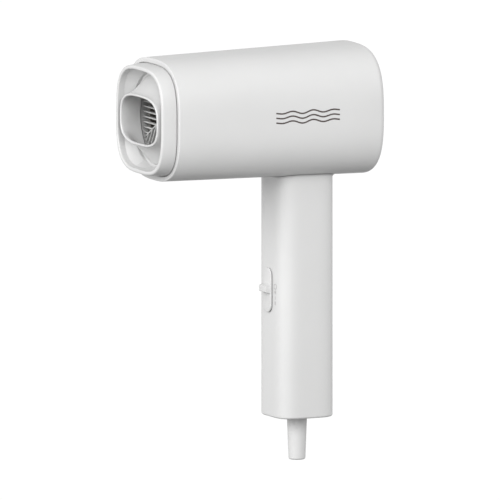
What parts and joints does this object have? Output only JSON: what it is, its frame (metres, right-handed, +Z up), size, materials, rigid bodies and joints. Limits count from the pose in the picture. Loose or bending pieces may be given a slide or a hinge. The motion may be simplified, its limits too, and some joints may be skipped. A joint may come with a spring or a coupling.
{
  "type": "hair dryer",
  "caption": "Compact hand-held hair dryer with a tapering rounded-square barrel, a slim straight handle, a slide switch and a turning concentrator nozzle.",
  "frame": {"origin": "middle of the grip on the handle's axis, 112 mm below the barrel's axis", "axes": "+Z up along the handle towards the barrel, -Y the way the air leaves the nozzle, X across the barrel"},
  "size_m": [0.0784, 0.1486, 0.2505],
  "materials": {
    "shell": "satin injection-moulded, near-white",
    "grille": "light grey heat-resistant moulding",
    "strain_relief": "soft matt light grey",
    "inner_nylon": "unpainted glass-filled moulding",
    "mica": "pressed mica sheet",
    "heating_wire": "drawn resistance wire",
    "steel": "plated",
    "dark_plastic": "moulded, dark",
    "filter_mesh": "fine woven mesh",
    "damper_rubber": "moulded",
    "circuit_board": "solder-resist green",
    "capacitor_case": "moulded box",
    "lead_blue": "insulated lead",
    "lead_brown": "insulated lead"
  },
  "bodies": {
    "dryer": {"barrel_housing": "shell", "front_bezel": "shell", "handle_housing": "shell", "bottom_cap": "shell", "outlet_grille": "grille", "strain_relief": "strain_relief", "heater_duct": "inner_nylon", "fan_shroud": "inner_nylon", "neck_clamp": "inner_nylon", "handle_frame": "inner_nylon", "cord_clamp": "inner_nylon", "mica_sleeve": "mica", "heater_board_flat": "mica", "heater_board_upright": "mica", "heater_coil_front": "heating_wire", "heater_coil_rear": "heating_wire", "motor_body": "steel", "thermal_fuse": "steel", "neck_screw_left": "steel", "neck_screw_right": "steel", "cap_screw_left": "steel", "cap_screw_right": "steel", "clamp_screw_left": "steel", "clamp_screw_right": "steel", "thermostat": "dark_plastic", "switch_body": "dark_plastic", "motor_damper": "damper_rubber", "rectifier_board": "circuit_board", "suppression_capacitor": "capacitor_case", "heater_lead_left": "lead_blue", "mains_lead_left": "lead_blue", "heater_lead_right": "lead_brown", "mains_lead_right": "lead_brown"},
    "nozzle_ring": {"nozzle_ring": "shell"},
    "nozzle": {"nozzle_collar": "shell", "nozzle_throat": "shell"},
    "rear_cover": {"rear_grille": "shell", "intake_filter": "filter_mesh"},
    "switch": {"slide_knob": "shell", "switch_actuator": "dark_plastic"},
    "fan": {"fan_impeller": "dark_plastic", "motor_shaft": "steel"}
  },
  "joints": [
    {"name": "nozzle_pull", "type": "slide", "parent": "dryer", "child": "nozzle_ring", "axis": [0, -1, 0], "range_m": [0, 0.03]},
    {"name": "nozzle_turn", "type": "hinge", "parent": "nozzle_ring", "child": "nozzle", "pos_m": [0, -0.095, 0.112], "axis": [0, -1, 0], "continuous": true},
    {"name": "rear_cover_pull", "type": "slide", "parent": "dryer", "child": "rear_cover", "axis": [0, 1, 0], "range_m": [0, 0.02]},
    {"name": "switch_slide", "type": "slide", "parent": "dryer", "child": "switch", "axis": [0, 0, -1], "range_m": [0, 0.01]},
    {"name": "fan_spin", "type": "hinge", "parent": "dryer", "child": "fan", "pos_m": [0, 0, 0.112], "axis": [0, 1, 0], "continuous": true}
  ]
}
